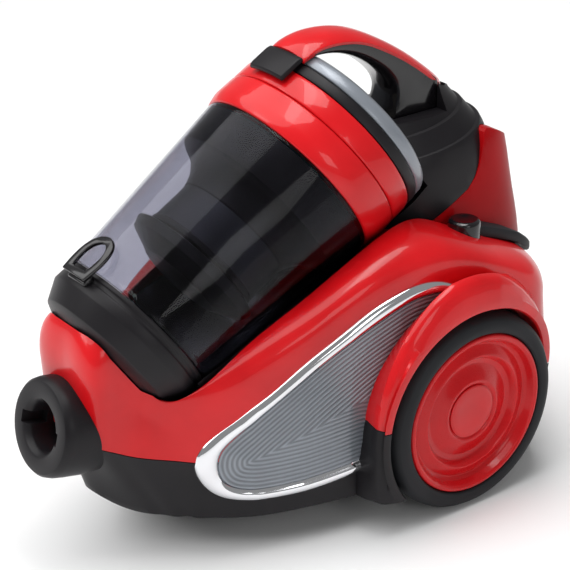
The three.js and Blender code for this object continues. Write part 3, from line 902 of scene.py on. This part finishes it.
@dataclass
class Body:
    """The lacquered shell, the black tray under it, and the fenders round the wheels."""

    stations: list[Station] = field(default_factory=lambda: [
        Station((0, -206, 212), (0, -220, 172), (0, -220, 113), (0, -203, 54)),
        Station((24, -204, 209), (25, -221, 170), (25, -219, 113), (23, -187, 42)),
        Station((36, -196, 201), (41.5, -216, 167), (40, -213, 112), (41, -168, 36)),
        Station((42, -188, 187), (45, -200, 152), (46, -203, 108), (47, -160, 35)),
        Station((46, -181, 174), (47, -187, 142), (53, -192, 104), (54, -153, 34)),
        Station((53, -174, 156), (53, -176, 134), (61, -177, 100), (59, -145, 34)),
        Station((61, -164, 147), (62, -163, 124), (69, -160, 96), (64, -140, 33)),
        Station((69, -150, 151), (73, -148, 122), (76, -147, 93), (69, -134, 33)),
        Station((76, -100, 180), (94, -104, 150), (93, -104, 92), (90, -103, 33)),
        Station((79, -50, 204), (105, -62, 174), (104.5, -62, 94), (104.5, -63, 33)),
        Station((81, 0, 228), (113, -20, 198), (113.5, -20, 98), (114.6, -22, 33)),
        Station((80, 38, 243), (119, 25, 215), (119, 25, 101), (120.5, 25, 33)),
        Station((74, 75, 245), (124, 70, 221), (121, 70, 101), (124, 70, 33)),
        Station((67, 112, 230), (127, 112, 210), (125, 112, 101), (126, 112, 33)),
        Station((66, 142, 215), (127, 150, 189), (129, 152, 101), (129, 152, 33)),
        Station((64, 168, 203), (122, 184, 164), (126, 188, 101), (126, 184, 33)),
        Station((58, 188, 193), (96, 206, 148), (98, 207, 101), (98, 203, 33)),
        Station((36, 200, 184), (50, 211, 146), (50, 211, 101), (50, 207, 33)),
        Station((0, 203, 180), (0, 212, 146), (0, 212, 101), (0, 208, 33)),
    ])
    crests: list[Pair] = field(default_factory=lambda: [
        (-34, 97.5), (0, 98), (30, 101.5), (50, 107), (64, 112.8), (77, 119.9), (88, 122.5), (101, 124),
        (112, 120), (124, 114.5), (135, 109.5),
        (147, 105), (160, 101.5), (173, 99.6), (186, 100.5), (194, 103), (205, 109), (217, 115),
    ])
    feet: list[Pair] = field(default_factory=lambda: [
        (-34, 103), (0, 104), (30, 110), (50, 118), (66, 120), (80, 113), (90, 107.5), (100, 104.5), (112, 102.6),
        (124, 102), (135, 100.6), (147, 99), (160, 97.4),
        (173, 96.6), (183, 97.8), (190, 101), (197, 106.5), (205, 114), (217, 125),
    ])
    well: float = 92.6
    wall: float = 3.0
    skirt_z: float = 33.0

    def build(self) -> None:
        """Models the housings."""
        shell = self.skin("upper_body", [s.upper() for s in self.stations])
        tray = self.skin("lower_tray", [s.lower() for s in self.stations])
        for piece in (shell, tray):
            walled(piece, self.wall)
            face_out(piece)
            carve(piece, self.wells())
            carve(piece, DustCup().room())
        carve(shell, Exhaust().window())
        hand_over(shell, GLOSS_RED, "body", ["body_shell"])
        hand_over(tray, TEXTURED_BLACK, "body", ["chassis"])
        spans = [("fender", 172, 5, GLOSS_RED, "red"), ("fender_foot", 217, 172.2, TEXTURED_BLACK, "black"),
                 ("fender_tail", 4.8, -34, TEXTURED_BLACK, "black")]
        for name, start, stop, finish, slot in spans:
            hand_over_pair(self.fender(name + "_right", start, stop), finish, ("body", "body"))
        liner = turned("wheel_liner_right", [(8, 103.2), (94.4, 103.2), (94.4, 124), (92.8, 124), (92.8, 104.8),
            (8, 104.8), (8, 103.2)])
        carve(at_axle(liner), brick("floor_cut", (0, -100, -60), (200, 300, self.skirt_z)))
        hand_over_pair(liner, TEXTURED_BLACK, ("body", "body"))
        self.cradle()

    def skin(self, name: str, curves: list[np.ndarray]) -> Piece:
        """A closed band through the sections of both flanks.

        Args:
            name: The piece's name.
            curves: The points of each right-hand section, from the nose to the rear.

        Returns:
            The surface.
        """
        right = np.array(curves)
        left = right[::-1] * [-1, 1, 1]
        stations = np.concatenate([right[-3:-1] * [-1, 1, 1], left, right[1:], left[1:3]])
        middle = stations.mean(axis=1)
        knots = np.concatenate([[0], np.cumsum(np.linalg.norm(np.diff(middle, axis=0), axis=1))])
        at = np.linspace(knots[2], knots[-3], 481)
        flat = stations.reshape(len(stations), -1)
        piece = sheet_of(name, cubic(knots, flat, at).reshape(len(at), stations.shape[1], 3))
        face_out(piece)
        return piece

    def wells(self) -> Piece:
        """The drums that clear both wheels.

        Returns:
            Both drums, as one cutter.
        """
        drum = at_axle(turned("well", [(0, 104), (self.well, 104), (self.well, 190), (0, 190)], 96))
        other = mirrored(drum, "well_left")
        take(drum)
        other.select_set(True)
        bpy.ops.object.join()
        return drum

    def fender(self, name: str, start: float, stop: float) -> Piece:
        """Sweeps the arch's section round the wheel, between two angles from the rear.

        Args:
            name: The piece's name.
            start: The first angle, in degrees up from the rear.
            stop: The last angle.

        Returns:
            The swept piece.
        """
        angles = np.radians(np.linspace(start, stop, max(12, int(abs(stop - start)))))
        rows = []
        for a in angles:
            d = math.degrees(a)
            crest = float(np.interp(d, *zip(*self.crests)))
            foot = float(np.interp(d, *zip(*self.feet)))
            root = float(np.interp(d, [-34, 0, 50, 90, 130, 217], [112, 112, 112, 112, 108, 106]))
            section = [
                (92.7, root), (92.7, 140), (92.9, 145.5), (94.2, 147.6), (97, 148), (102, 147.4),
                (crest - 6, 144.2), (crest - 2.2, 142.2),
                (crest, 140), (crest + 1.2, 136), ((crest + foot) / 2 + 1, 128), (foot, 119), (foot + 1, root),
            ]
            reach = float(np.interp(d, [-34, 0, 45, 78], [0.42, 0.46, 0.85, 1.0]))
            section = [(r, root + (x - root) * reach) for r, x in section]
            rows.append([(x, AXLE_Y + r * math.cos(a), AXLE_Z + r * math.sin(a)) for r, x in section + section[:1]])
        piece = sheet_of(name, np.array(rows))
        face_out(piece)
        capped(piece)
        carve(piece, brick("skirt_line", (50, -100, -80), (200, 300, self.skirt_z)))
        return rounded(piece, 1.4, 3, 50)

    def cradle(self) -> None:
        """The saddle that the cup lies in, coloured black as painted shade for the shadowed gap between the cup and
        the body.
        """
        cup = DustCup()
        saddle = turned("cup_saddle", [
            (54, -47), (66, -41), (76, -20), (76.5, 0), (84, 80), (91.5, 168), (92.5, 180), (92.5, 236),
            (94.5, 236), (94.5, 178),
            (86, 80), (78.5, 0), (78, -21), (67.5, -43), (54, -49.5), (54, -47),
        ], 96)
        carve(saddle, brick("saddle_half", (-70, 28, -80), (70, 140, 175)), "INTERSECT")
        for side in Side:
            x0, x1 = sorted((40 * side.value, 99 * side.value))
            carve(saddle, brick("saddle_corner", (x0, 0, -80), (x1, 140, -8)))
        cup.seat(saddle)
        # The saddle is a real part, but its black stands for the shadow in the gap round the cup: painted shade.
        hand_over(saddle, TEXTURED_BLACK, "body")


@dataclass
class Flank:
    """The plated frame on each side of the body, and the ribbed panel in it."""

    outer: list[Pair] = field(default_factory=lambda: [
        (83.9, 200.9), (70.7, 207.7), (55.4, 211.7), (35.3, 211.5), (16.0, 206.6), (-2.6, 199.5), (-20.9, 189.9),
        (-38.4, 179.6),
        (-55.8, 169.3), (-72.5, 157.7), (-88.9, 145.9), (-105.2, 135.4), (-118.0, 126.5), (-128.9, 118.8),
        (-138.2, 110.2),
        (-145.0, 101.2), (-147.8, 91.8), (-146.6, 81.5), (-142.3, 71.6), (-135.3, 62.8), (-125.3, 56.1),
        (-113.0, 52.0),
        (-97.6, 49.6), (-72.4, 48.4), (-46.0, 49.6), (-27.8, 52.0), (-12.0, 55.0),
    ])
    inner: list[Pair] = field(default_factory=lambda: [
        (78.0, 196.5), (64.0, 199.0), (50.0, 199.5), (33.0, 197.6), (11.8, 190.2), (-11.5, 180.4), (-29.5, 171.2),
        (-47.0, 160.9),
        (-64.3, 149.7), (-80.7, 138.3), (-97.2, 126.7), (-111.0, 116.6), (-121.8, 107.6), (-128.6, 99.0),
        (-131.0, 89.6),
        (-129.9, 79.4), (-125.1, 70.9), (-117.0, 65.2), (-105.7, 61.9), (-89.2, 60.4), (-63.9, 60.7),
        (-37.1, 63.1), (-12.0, 66.4),
    ])
    fender: float = 95.2  # the radius that the fender takes up
    wall: float = 3.0

    def flank_x(self, y: float, z: float) -> float:
        """How far out the body's side is at a place on it."""
        return float(np.interp(y, [-165, -148, -104, -62, -20, 25, 70, 112],
            [60, 75.5, 93, 104.5, 113.5, 119.3, 122.5, 127]))

    def build(self) -> None:
        """Models the frame and the panel on both sides."""
        outer, inner = through(self.outer, 200), through(self.inner, 200)
        rows = []
        for (y0, z0), (y1, z1) in zip(outer, inner):
            x0, x1 = self.flank_x(y0, z0), self.flank_x(y1, z1)
            row = []
            for t, rise in [(0, -2.5), (0.0, 0.6), (0.06, 2.0), (0.2, 3.6), (0.38, 4.6), (0.56, 4.7), (0.74, 3.9),
                (0.9, 2.4), (1.0, 0.8), (1.0, -2.5)]:
                row.append((x0 + (x1 - x0) * t + rise, y0 + (y1 - y0) * t, z0 + (z1 - z0) * t))
            rows.append(row + row[:1])
        frame = sheet_of("flank_frame_right", np.array(rows))
        face_out(frame)
        capped(frame)
        carve(frame, self.fender_room())
        ys, zs = np.linspace(-134, 84, 220), np.linspace(57, 202, 146)
        grid = np.array([[(self.flank_x(y, z) + 1.6, y, z) for y in ys] for z in zs])
        panel = sheet_of("flank_panel_right", grid)
        walled(panel, self.wall)
        face_out(panel)
        edge = [tuple(p) for p in inner] + [(10, 62), (60, 120)]
        carve(panel, prism("panel_outline", edge, 40, 160), "INTERSECT")
        carve(panel, self.fender_room())
        self.mark_ribs(panel, inner)
        hand_over_pair(frame, PLATED, ("body", "body"), "side_trim", 50)
        hand_over_pair(panel, RIBBED_GREY, ("body", "body"), "side_grille", 50)

    def fender_room(self) -> Piece:
        """The drum that the fender fills."""
        return at_axle(turned("fender_room", [(0, 60), (self.fender, 60), (self.fender, 190), (0, 190)], 128))

    def mark_ribs(self, panel: Piece, edge: np.ndarray) -> None:
        """Stores each point's distance from the frame's inner edge, which the ribs follow.

        Args:
            panel: The ribbed panel.
            edge: Points (y, z) along that edge.
        """
        count = len(panel.data.vertices)
        places = np.zeros(count * 3)
        panel.data.vertices.foreach_get("co", places)
        flat = places.reshape(-1, 3)[:, 1:] / MM
        a, b = edge[:-1], edge[1:]
        run = b - a
        nearest = np.full(count, 1e9)
        for p, d in zip(a, run):
            t = np.clip(((flat - p) @ d) / (d @ d), 0, 1)
            nearest = np.minimum(nearest, np.linalg.norm(flat - p - t[:, None] * d, axis=1))
        attribute = panel.data.attributes.new("rib_distance", "FLOAT", "POINT")
        attribute.data.foreach_set("value", nearest.astype(np.float32))


# ---- hose inlet ----


@dataclass
class HoseInlet:
    """The collar that takes the hose end, with two bayonet notches in its bore."""

    face_y: float = -244.5
    face_z: float = 124.6
    tilt: float = 12.8

    def build(self) -> None:
        """Models the collar."""
        collar = turned("hose_inlet", [
            (20, -52), (38.5, -52), (41.0, -34), (41.3, -16), (41.0, -8),
            (39.8, -2.8), (37.6, -0.4), (35, 0), (25.5, 0), (23.4, -0.8), (20.6, -4), (20, -6), (20, -52),
        ])
        for side in Side:
            x0, x1 = sorted((14 * side.value, 26.5 * side.value))
            carve(collar, brick("notch", (x0, -5.5, -20), (x1, 5.5, 4)))
        carve(collar, brick("notch_top", (-4, 14, -20), (4, 23.5, 4)))
        rounded(collar, 0.7, 3, 35)
        turn = Matrix.Rotation(math.radians(90 - self.tilt), 4, "X")
        collar.data.transform(Matrix.Translation((0, self.face_y * MM, self.face_z * MM)) @ turn)
        hand_over(collar, TEXTURED_BLACK, "body", ["hose_collar"])


# ---- handle, neck and rear panel ----


@dataclass
class Handle:
    """The carrying handle over the cap: a red cover on a polished black grip, and the release clip."""

    top: list[Pair] = field(default_factory=lambda: [(-1, 389.6), (15, 395.2), (41, 397), (62, 393.6), (89, 382.2),
        (122, 362.4), (165, 328.6)])
    under: list[Pair] = field(default_factory=lambda: [(6, 382), (26, 381.5), (44, 378.2), (74, 364.4),
        (92, 350.5), (101, 340), (104.5, 331), (103, 319), (100, 308)])
    thickness: float = 5.2
    half: float = 22.0
    crown: float = 6.5

    def width(self, y: float) -> float:
        """Half the handle's width, drawn in round its tail."""
        return self.half * math.sqrt(max(0.004, 1 - (max(0.0, y - 143) / 23.5) ** 2))

    def cover(self) -> Piece:
        """The crowned cover along the top.

        Returns:
            The cover.
        """
        path = through(self.top, 72)
        along = np.gradient(path, axis=0)
        out = np.stack([-along[:, 1], along[:, 0]], axis=1)
        out /= np.linalg.norm(out, axis=1)[:, None]
        rows = []
        for i, ((y, z), (oy, oz)) in enumerate(zip(path, out)):
            lip = 1.0 - 0.25 * max(0.0, 1 - i / 4) ** 2
            row = []
            for u in np.linspace(-1, 1, 25):
                drop = self.crown * abs(u) ** 2.6 + (1 - lip) * self.thickness
                row.append((self.width(y) * u, y - oy * drop, z - oz * drop))
            for u in np.linspace(0.93, -0.93, 23):
                drop = self.crown * abs(u) ** 2.6 + self.thickness
                row.append((self.width(y) * u, y - oy * drop, z - oz * drop))
            rows.append(row + row[:1])
        piece = sheet_of("handle_top", np.array(rows))
        return rounded(capped(piece), 0.7, 3, 40)

    def grip(self) -> Piece:
        """The black core under the cover, swelling into its root.

        Returns:
            The core.
        """
        under = through(self.under, 62)
        ridge = through([(7, 392.8), *(p for p in self.top if 10 < p[0] < 130), (146.5, 344)], 62)
        fore = ridge - (0, self.thickness + 3.4)
        pairs = [*zip(fore, under), ((148, 326), (100, 306)), ((148, 315), (104, 304.2)),
            ((148, 304.4), (112, 303.9))]
        loop = [(-1, 0), (-1, 0.3), (-0.99, 0.5), (-0.94, 0.7), (-0.82, 0.87), (-0.6, 0.97), (-0.3, 1), (0, 1)]
        loop += [(-u, t) for u, t in loop[-2::-1]]
        loop += [(u, -0.1) for u in (0.66, 0.33, 0, -0.33, -0.66)]
        rows = []
        for i, ((y0, z0), (y1, z1)) in enumerate(pairs):
            squareness = min(1.0, max(0.0, (i - 40) / 18))
            row = []
            for u, t in loop:
                u = math.copysign(abs(u) ** (1 - 0.85 * squareness), u) if abs(u) > 0.01 else 0.0
                half = (self.half - 1 * max(t, 0)) * 0.965
                row.append((u * half, y0 + (y1 - y0) * max(t, 0), z0 + (z1 - z0) * t))
            rows.append(row + row[:1])
        return rounded(capped(sheet_of("handle_core", np.array(rows))), 0.6, 2, 50)

    def build(self) -> None:
        """Models the cover, the grip and the clip."""
        hand_over(self.cover(), GLOSS_RED, "cup", ["handle_cover"], 40)
        hand_over(self.grip(), POLISHED_BLACK, "cup", ["handle_grip"], 40)
        cup = DustCup()
        clip = turned("release_button", [(91.3, 211), (94, 211), (95.6, 213), (96, 220), (95.8, 232),
            (94.6, 236.4), (91.3, 236.4), (91.3, 211)], 160)
        carve(clip, brick("clip_room", (-21, -140, 190), (21, -20, 250)), "INTERSECT")
        rounded(clip, 1.2, 3, 40)
        cup.seat(clip)
        hand_over(clip, TEXTURED_BLACK, "release_clip", ["release_clip"])


@dataclass(frozen=True)
class Level:
    """One outline of the tower: its height, half width and rear, how square it is and how it leans."""

    z: float
    half: float
    rear: float
    power: float = 2.67
    slope: float = 0.0


@dataclass
class Tower:
    """The neck behind the cup, stepped under the handle, and the deep red panel down its back."""

    levels: list[Level] = field(default_factory=lambda: [
        Level(172, 66, 232), Level(200, 66, 230), Level(228, 64.6, 224), Level(252, 62.8, 214),
        Level(264, 61.8, 209),
        Level(274, 60.9, 205, 2.5, 0.03), Level(281, 59.6, 202.5, 2.4, 0.07), Level(286, 58.6, 200.5, 2.2, 0.12),
        Level(289.6, 57.6, 198, 2.1, 0.156), Level(290.6, 57.0, 197.2, 2.1, 0.156),
        Level(291.0, 54.6, 194, 2.1, 0.156),
        Level(298, 49.6, 189, 2.05, 0.155), Level(305.6, 45.4, 183.4, 2.0, 0.15),
        Level(306.6, 44.8, 182.6, 2.0, 0.15),
        Level(307, 41.6, 179.4, 2.0, 0.15), Level(313, 39, 175, 2.0, 0.15), Level(319, 36, 171, 2.0, 0.12),
        Level(326, 33, 168, 2.0, 0.08), Level(333, 30.5, 165, 2.0, 0.04), Level(340, 28.5, 162),
        Level(346, 27, 158),
    ])
    panel_levels: list[Level] = field(default_factory=lambda: [
        Level(172, 66, 243), Level(186, 66.5, 242), Level(200, 66, 239.5), Level(215, 65.3, 236),
        Level(228, 64.6, 232.6),
        Level(240, 63.8, 230), Level(252, 62.8, 227.6), Level(264, 61.8, 225.2), Level(280, 60.2, 221.6),
        Level(288, 58.8, 219.4), Level(295, 56, 217), Level(312, 50, 212),
    ])
    seam: list[Pair] = field(default_factory=lambda: [
        (262, 249), (222, 272.6), (212, 279), (196, 288.2), (182, 294.6), (176, 296), (172, 294), (169, 287.5),
        (166, 279), (162.6, 268.4),
        (157, 258.8), (148, 250), (132, 242), (100, 226),
    ])
    front: float = 60.0

    def ring(self, level: Level, sides: int = 128) -> list[Point]:
        """The rounded outline of one level.

        Args:
            level: The level.
            sides: How many points go round it.

        Returns:
            The points, in millimetres.
        """
        middle, reach = (level.rear + self.front) / 2, (level.rear - self.front) / 2
        points = []
        for i in range(sides):
            a = 2 * math.pi * i / sides
            c, s = math.cos(a), math.sin(a)
            k = (abs(c) ** level.power + abs(s) ** level.power) ** (-1 / level.power)
            y = middle + reach * s * k
            points.append((level.half * c * k, y, level.z + level.slope * (y - 130)))
        return points

    def block(self, name: str, levels: list[Level]) -> Piece:
        """A form through a stack of outlines, with the cup's room cut out of it.

        Args:
            name: The piece's name.
            levels: The outlines, from the lowest up.

        Returns:
            The form.
        """
        rows = [self.ring(level) for level in levels]
        piece = sheet_of(name, np.array([ring + ring[:1] for ring in rows]))
        face_out(piece)
        capped(piece)
        return carve(piece, DustCup().room())

    def build(self) -> None:
        """Models the neck, the panel, the bumper strip and the pedals."""
        above = [*self.seam, (20, 226), (20, 420), (262, 420)]
        below = [*self.seam, (20, 226), (20, 100), (262, 100)]
        neck = carve(self.block("neck_duct", self.levels),
            prism("above_seam", [(y, z + 0.35) for y, z in above], -150, 150), "INTERSECT")
        carve(neck, prism("above_neck", [
            (40, 312.5), (145.6, 312.5), (145.6, 335.5), (152, 333), (166, 326.5), (182, 316.5), (197, 304.6),
            (222, 282), (260, 420), (40, 420),
        ], -150, 150))
        room = prism("tail_room", [(100, 340), (145, 331.5), (167, 314.5), (167, 420), (100, 420)], -23.2, 23.2)
        tail = [(23.2 * math.cos(a), 144 + 23 * math.sin(a)) for a in np.linspace(0, math.pi, 25)]
        carve(room, prism("tail_plan", [*tail, (-23.2, 90), (23.2, 90)], 290, 430, "Z"), "INTERSECT")
        carve(neck, room)
        carve(neck, brick("root_room", (-22.4, 90, 303.5), (22.4, 148.6, 420)))
        rounded(neck, 0.9, 3, 35)
        hand_over(neck, TEXTURED_BLACK, "body", ["neck_housing"])
        panel = carve(self.block("rear_cover", self.panel_levels),
            prism("below_seam", [(y, z - 0.35) for y, z in below], -150, 150), "INTERSECT")
        rounded(panel, 0.9, 3, 35)
        hand_over(panel, DEEP_RED, "body", ["rear_panel"])
        self.strip()
        self.pedals()

    def strip(self) -> None:
        """The rubber strip round the foot of the tower."""
        half = [(78, 134, 222), (79.5, 157, 215), (79.5, 178, 207), (77.5, 198, 197.5), (71, 214, 186),
            (57, 228, 176), (30, 240, 170), (0, 243, 168.5)]
        path = through(half + [(-x, y, z) for x, y, z in half[-2::-1]], 121)
        along = np.gradient(path, axis=0)
        out = np.stack([along[:, 1], -along[:, 0]], axis=1)
        out /= np.linalg.norm(out, axis=1)[:, None]
        rows = []
        for (x, y, z), (ox, oy) in zip(path, out):
            row = []
            for reach, up in [(-13, -6.5), (0, -6.5), (1.6, -5.2), (2, -3), (1.8, 1.5), (0.6, 3.4), (-2, 4.4),
                (-13, 4.6)]:
                row.append((x + ox * reach, y + oy * reach, z + up))
            rows.append(row + row[:1])
        strip = sheet_of("rear_bumper", np.array(rows))
        face_out(strip)
        capped(strip)
        hand_over(strip, SOFT_RUBBER, "body", ["bumper_strip"])

    def pedals(self) -> None:
        """The two foot pedals beside the tower."""
        for side, node in ((Side.RIGHT, "power_button"), (Side.LEFT, "rewind_button")):
            pedal = turned(node + "_cap", [(0, 216), (6, 216), (6, 204), (13.6, 204), (14, 206), (14, 231),
                (13.4, 233), (11, 234.4), (8, 234), (4, 233.2), (0, 233.2)], 72)
            rounded(pedal, 0.8, 3, 35)
            pedal.data.transform(Matrix.Translation((81 * side.value * MM, 128 * MM, 0)))
            hand_over(pedal, POLISHED_BLACK, node, [node])


@dataclass
class Exhaust:
    """The louvred cover in the rear wall."""

    half: float = 61.0
    low: float = 119.0
    high: float = 157.0
    corner: float = 9.0

    def outline(self, grow: float) -> list[Pair]:
        """The cover's rounded rectangle, seen from behind.

        Args:
            grow: How much larger than the cover it is.

        Returns:
            Its points (x, z).
        """
        points = []
        for quarter, (sx, sz) in enumerate([(1, 1), (-1, 1), (-1, -1), (1, -1)]):
            x = sx * (self.half - self.corner)
            z = (self.low + self.high) / 2 + sz * ((self.high - self.low) / 2 - self.corner)
            for k in range(9):
                a = math.pi / 2 * (quarter + k / 8)
                points.append((x + (self.corner + grow) * math.cos(a), z + (self.corner + grow) * math.sin(a)))
        return points

    def window(self) -> Piece:
        """The opening in the shell that the cover fills."""
        return prism("exhaust_window", self.outline(0.8), 190, 230, "Y")

    def build(self) -> None:
        """Models the louvred cover."""
        cover = prism("exhaust_louvres", self.outline(0), 202.5, 209.6, "Y")
        for i in range(7):
            z = self.low + 5.2 + i * 4.6
            slot = brick("slot", (-self.half + 8, 196, z - 1.1), (self.half - 8, 220, z + 1.1))
            carve(cover, slot)
        rounded(cover, 0.5, 2, 40)
        hand_over(cover, TEXTURED_BLACK, "exhaust_cover", ["exhaust_grille"])


@dataclass
class Studio:
    """Floor, lights and camera."""

    azimuth: float = 52.5
    elevation: float = 25.3
    distance: float = 1.592
    aim_z: float = 0.1787
    lens: float = 118.6
    floor_size: float = 14.0
    surround: float = 0.3
    sun_energy: float = 2.5
    sun_spread: float = 70.0

    def build(self) -> None:
        """Sets the stage round the machine."""
        self.floor()
        self.lights()
        self.camera()

    def floor(self) -> None:
        """A plain pale floor."""
        clear_selection()
        bpy.ops.mesh.primitive_plane_add(size=self.floor_size)
        floor = named("floor")
        paper = bpy.data.materials.new("pale_floor")
        paper.use_nodes = True
        shader = paper.node_tree.nodes["Principled BSDF"]
        shader.inputs["Base Color"].default_value = (0.93, 0.93, 0.93, 1)
        shader.inputs["Roughness"].default_value = 0.9
        floor.data.materials.append(paper)

    def lights(self) -> None:
        """A bright surround, with soft boxes overhead and beside the camera."""
        world = bpy.data.worlds.new("surround")
        bpy.context.scene.world = world
        world.use_nodes = True
        world.node_tree.nodes["Background"].inputs["Color"].default_value = (1, 1, 1, 1)
        world.node_tree.nodes["Background"].inputs["Strength"].default_value = self.surround
        clear_selection()
        bpy.ops.object.light_add(type="SUN", location=(-0.5, -1.2, 2.4))
        sky = bpy.context.object
        sky.name = "broad_ceiling"
        sky.data.energy = self.sun_energy
        sky.data.angle = math.radians(self.sun_spread)
        sky.rotation_euler = Vector((0.35, 0.45, -1.0)).to_track_quat("-Z", "Y").to_euler()
        boxes = [
            ("overhead", (0.1, 0.1, 1.5), (0.9, 0.5), 7.0),
            ("camera_left", (-0.5, -1.6, 1.2), (0.7, 0.7), 4.0),
            ("camera_right", (1.7, -0.2, 0.9), (0.6, 0.6), 3.0),
        ]
        for name, place, size, power in boxes:
            clear_selection()
            bpy.ops.object.light_add(type="AREA", location=place)
            lamp = bpy.context.object
            lamp.name = name
            lamp.data.shape = "RECTANGLE"
            lamp.data.size, lamp.data.size_y = size
            lamp.data.energy = power
            lamp.rotation_euler = (Vector((0, 0, 0.18)) - Vector(place)).to_track_quat("-Z", "Y").to_euler()

    def camera(self) -> None:
        """The camera, looking down on the right front quarter."""
        a, e = math.radians(self.azimuth), math.radians(self.elevation)
        back = Vector((math.sin(a) * math.cos(e), -math.cos(a) * math.cos(e), math.sin(e)))
        place = Vector((0, 0, self.aim_z)) + back * self.distance
        clear_selection()
        bpy.ops.object.camera_add(location=place)
        camera = bpy.context.object
        camera.name = "studio_camera"
        camera.rotation_euler = (-back).to_track_quat("-Z", "Y").to_euler()
        camera.data.lens = self.lens
        camera.data.sensor_width = 36
        camera.data.clip_end = 50
        bpy.context.scene.camera = camera
        bpy.context.scene.view_settings.view_transform = "Standard"


def dress_frame(frame: dict) -> None:
    """Gives each of the frame's nodes the finish of its material slot.
    """
    slots = {s["node"]: s["material_slot"] for s in frame["record"]["subparts"]}
    for name, node in frame["nodes"].items():
        finish = CAD_FINISHES[slots[name]]
        for place in node.material_slots:
            place.material = material_for(finish)


def main() -> None:
    """Builds the cleaner piece by piece over its frame."""
    logging.basicConfig(level=logging.INFO, format="%(name)s %(message)s", stream=sys.stdout)
    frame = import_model()
    Studio().build()
    dress_frame(frame)
    for part in (DustCup(), Wheels(), Body(), Flank(), HoseInlet(), Handle(), Tower(), Exhaust()):
        LOG.info("building %s", type(part).__name__)
        part.build()


if __name__ == "__main__":
    main()
